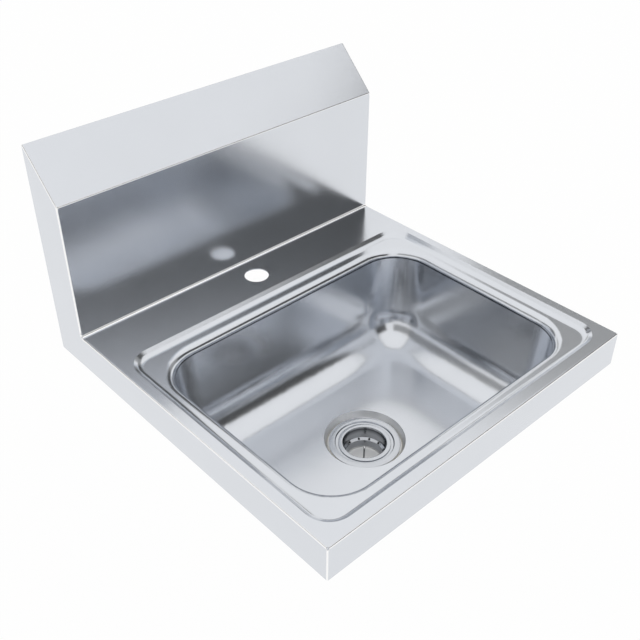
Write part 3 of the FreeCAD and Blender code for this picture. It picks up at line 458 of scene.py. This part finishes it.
for name in ("lock_nut", "coupling_nut"):
    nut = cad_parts[name]
    nut.data.materials.clear()
    nut.data.materials.append(cast_zinc)
    edge = nut.modifiers.new("cast_edges", "BEVEL")
    edge.width = CAST_EDGE
    edge.segments = 3
    edge.limit_method = "ANGLE"
    edge.angle_limit = math.radians(40)
    edge.harden_normals = True

# Gasket and basket stopper: moulded black rubber, matt, with a trace of talc in its pores.
TALC_BLOOM = 1 / 150
RUBBER_PORE = 0.0004
black_rubber = bpy.data.materials.new("moulded_black_rubber")
black_rubber.use_nodes = True
rubber = black_rubber.node_tree.nodes["Principled BSDF"]
place = add_node(black_rubber, "TexCoord").outputs["Object"]
talc = add_node(black_rubber, "TexNoise", {"Vector": place, "Scale": 1 / TALC_BLOOM, "Detail": 5}).outputs["Fac"]
pores = add_node(black_rubber, "TexNoise", {"Vector": place, "Scale": 1 / RUBBER_PORE, "Detail": 2}).outputs["Fac"]
tone = add_node(black_rubber, "Mix", {"Factor": talc, "A": linear("#1E1E1E"), "B": linear("#363534")},
                data_type="RGBA")
black_rubber.node_tree.links.new(tone.outputs["Result"], rubber.inputs["Base Color"])
dull = add_node(black_rubber, "MapRange", {"Value": talc, "To Min": 0.55, "To Max": 0.8}).outputs[0]
black_rubber.node_tree.links.new(dull, rubber.inputs["Roughness"])
porous = add_node(black_rubber, "Bump", {"Height": pores, "Strength": 0.3, "Distance": 0.00003})
black_rubber.node_tree.links.new(porous.outputs[0], rubber.inputs["Normal"])
for name in ("rubber_gasket", "basket_stopper"):
    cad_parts[name].data.materials.clear()
    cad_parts[name].data.materials.append(black_rubber)

# Sealing rings: plumber's putty under the flange and a soft seal on the tail, off-white and dull,
# with the small dimples that pressing leaves.
PUTTY_DIMPLE = 1 / 350
pressed_putty = bpy.data.materials.new("pressed_putty")
pressed_putty.use_nodes = True
putty = pressed_putty.node_tree.nodes["Principled BSDF"]
place = add_node(pressed_putty, "TexCoord").outputs["Object"]
dimple = add_node(pressed_putty, "TexNoise", {"Vector": place, "Scale": 1 / PUTTY_DIMPLE, "Detail": 4}).outputs["Fac"]
tone = add_node(pressed_putty, "Mix", {"Factor": dimple, "A": linear("#CFCBC0"), "B": linear("#E2DFD6")},
                data_type="RGBA")
pressed_putty.node_tree.links.new(tone.outputs["Result"], putty.inputs["Base Color"])
dull = add_node(pressed_putty, "MapRange", {"Value": dimple, "To Min": 0.6, "To Max": 0.85}).outputs[0]
pressed_putty.node_tree.links.new(dull, putty.inputs["Roughness"])
pressed = add_node(pressed_putty, "Bump", {"Height": dimple, "Strength": 0.5, "Distance": 0.0002})
pressed_putty.node_tree.links.new(pressed.outputs[0], putty.inputs["Normal"])
for name in ("flange_seal_ring", "tailpiece_washer"):
    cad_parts[name].data.materials.clear()
    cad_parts[name].data.materials.append(pressed_putty)

# Friction ring: cut from brown fibre board, so that the lock nut slides and doesn't twist the
# rubber. Its fibres show as short flecks.
FIBRE_WIDTH = 1 / 3000
fibre_board = bpy.data.materials.new("brown_fibre_board")
fibre_board.use_nodes = True
fibre = fibre_board.node_tree.nodes["Principled BSDF"]
place = add_node(fibre_board, "TexCoord").outputs["Object"]
laid = add_node(fibre_board, "Mapping", {"Vector": place, "Scale": (0.15, 1, 1)}).outputs[0]
flecks = add_node(fibre_board, "TexNoise", {"Vector": laid, "Scale": 1 / FIBRE_WIDTH, "Detail": 4}).outputs["Fac"]
tone = add_node(fibre_board, "Mix", {"Factor": flecks, "A": linear("#5E4733"), "B": linear("#8E7252")},
                data_type="RGBA")
fibre_board.node_tree.links.new(tone.outputs["Result"], fibre.inputs["Base Color"])
dull = add_node(fibre_board, "MapRange", {"Value": flecks, "To Min": 0.7, "To Max": 0.9}).outputs[0]
fibre_board.node_tree.links.new(dull, fibre.inputs["Roughness"])
raised = add_node(fibre_board, "Bump", {"Height": flecks, "Strength": 0.5, "Distance": 0.00005})
fibre_board.node_tree.links.new(raised.outputs[0], fibre.inputs["Normal"])
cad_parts["friction_ring"].data.materials.clear()
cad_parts["friction_ring"].data.materials.append(fibre_board)

# Wall bracket: a pressed strip of stainless that is screwed to the wall, and carries the sink. It
# keeps the mill's own dull finish, with rolling marks along it.
ROLLING_MARK = 1 / 1800
mill_steel = bpy.data.materials.new("mill_finish_stainless")
mill_steel.use_nodes = True
steel = mill_steel.node_tree.nodes["Principled BSDF"]
steel.inputs["Metallic"].default_value = 1.0
place = add_node(mill_steel, "TexCoord").outputs["Object"]
rolled = add_node(mill_steel, "Mapping", {"Vector": place, "Scale": (0.03, 1, 1)}).outputs[0]
marks = add_node(mill_steel, "TexNoise", {"Vector": rolled, "Scale": 1 / ROLLING_MARK, "Detail": 3}).outputs["Fac"]
tone = add_node(mill_steel, "Mix", {"Factor": marks, "A": linear("#B4B5B6"), "B": linear("#C4C5C5")},
                data_type="RGBA")
mill_steel.node_tree.links.new(tone.outputs["Result"], steel.inputs["Base Color"])
dull = add_node(mill_steel, "MapRange", {"Value": marks, "To Min": 0.3, "To Max": 0.42}).outputs[0]
mill_steel.node_tree.links.new(dull, steel.inputs["Roughness"])
streaks = add_node(mill_steel, "Bump", {"Height": marks, "Strength": 0.3, "Distance": 0.00003})
mill_steel.node_tree.links.new(streaks.outputs[0], steel.inputs["Normal"])
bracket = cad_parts["wall_bracket"]
bracket.data.materials.clear()
bracket.data.materials.append(mill_steel)
